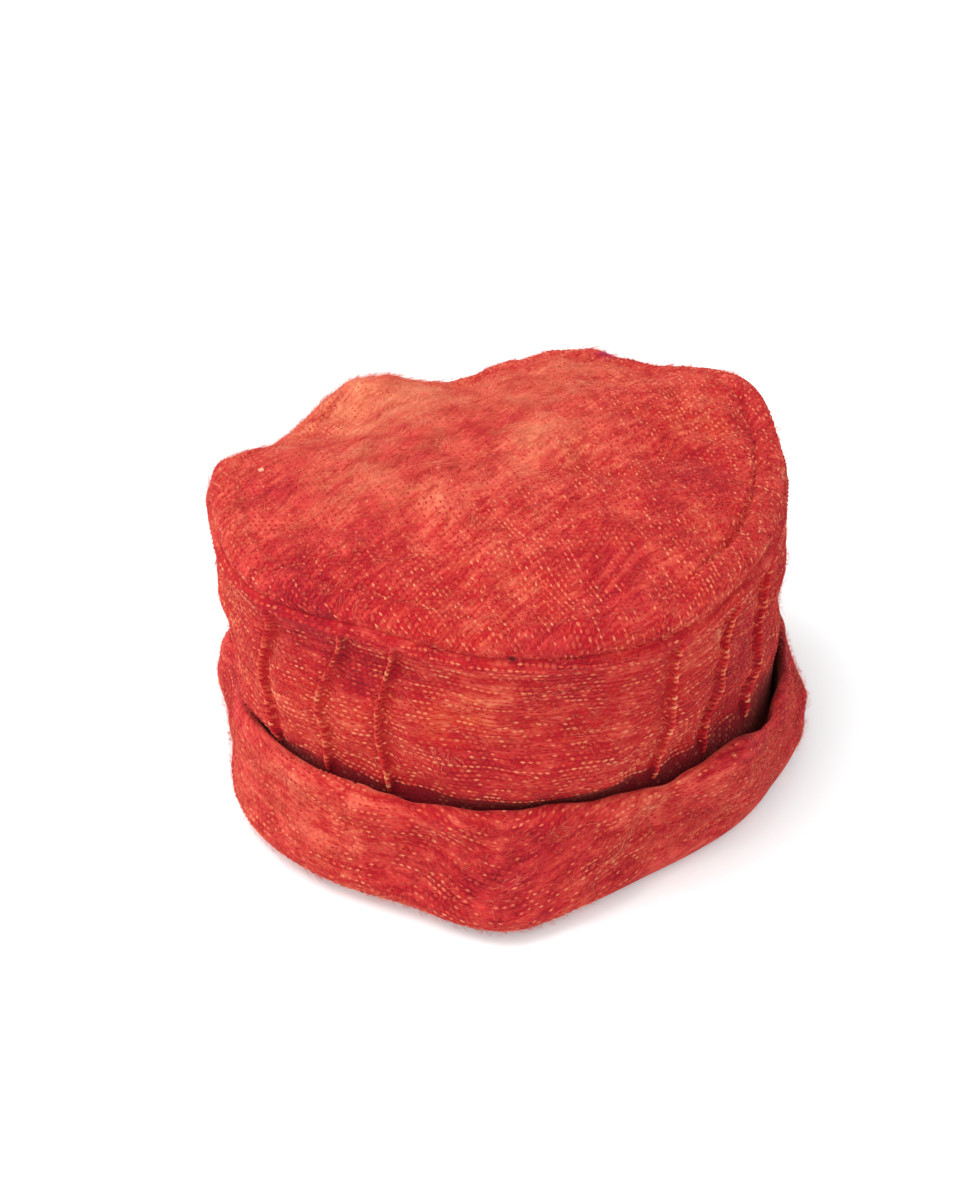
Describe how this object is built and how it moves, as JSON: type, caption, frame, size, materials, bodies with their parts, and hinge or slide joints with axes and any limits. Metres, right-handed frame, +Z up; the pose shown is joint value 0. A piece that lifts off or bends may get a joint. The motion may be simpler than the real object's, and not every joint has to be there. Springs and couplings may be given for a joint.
{
  "type": "pashtun hat",
  "caption": "Soft wool hat with a round lumpy crown, a tall side band with pin-tucks and a loosely rolled brim, standing on its brim.",
  "frame": {"origin": "under the middle of the hat, on the surface that it stands on", "axes": "+Z up through the crown, the hat's front towards -Y, its left seen from the front towards -X"},
  "size_m": [0.211, 0.2212, 0.1166],
  "materials": {
    "wool_cloth": "brushed hand-woven wool in mottled red, crimson and orange"
  },
  "bodies": {
    "root": {"crown": "wool_cloth", "side_band": "wool_cloth", "rolled_brim": "wool_cloth"}
  },
  "joints": []
}
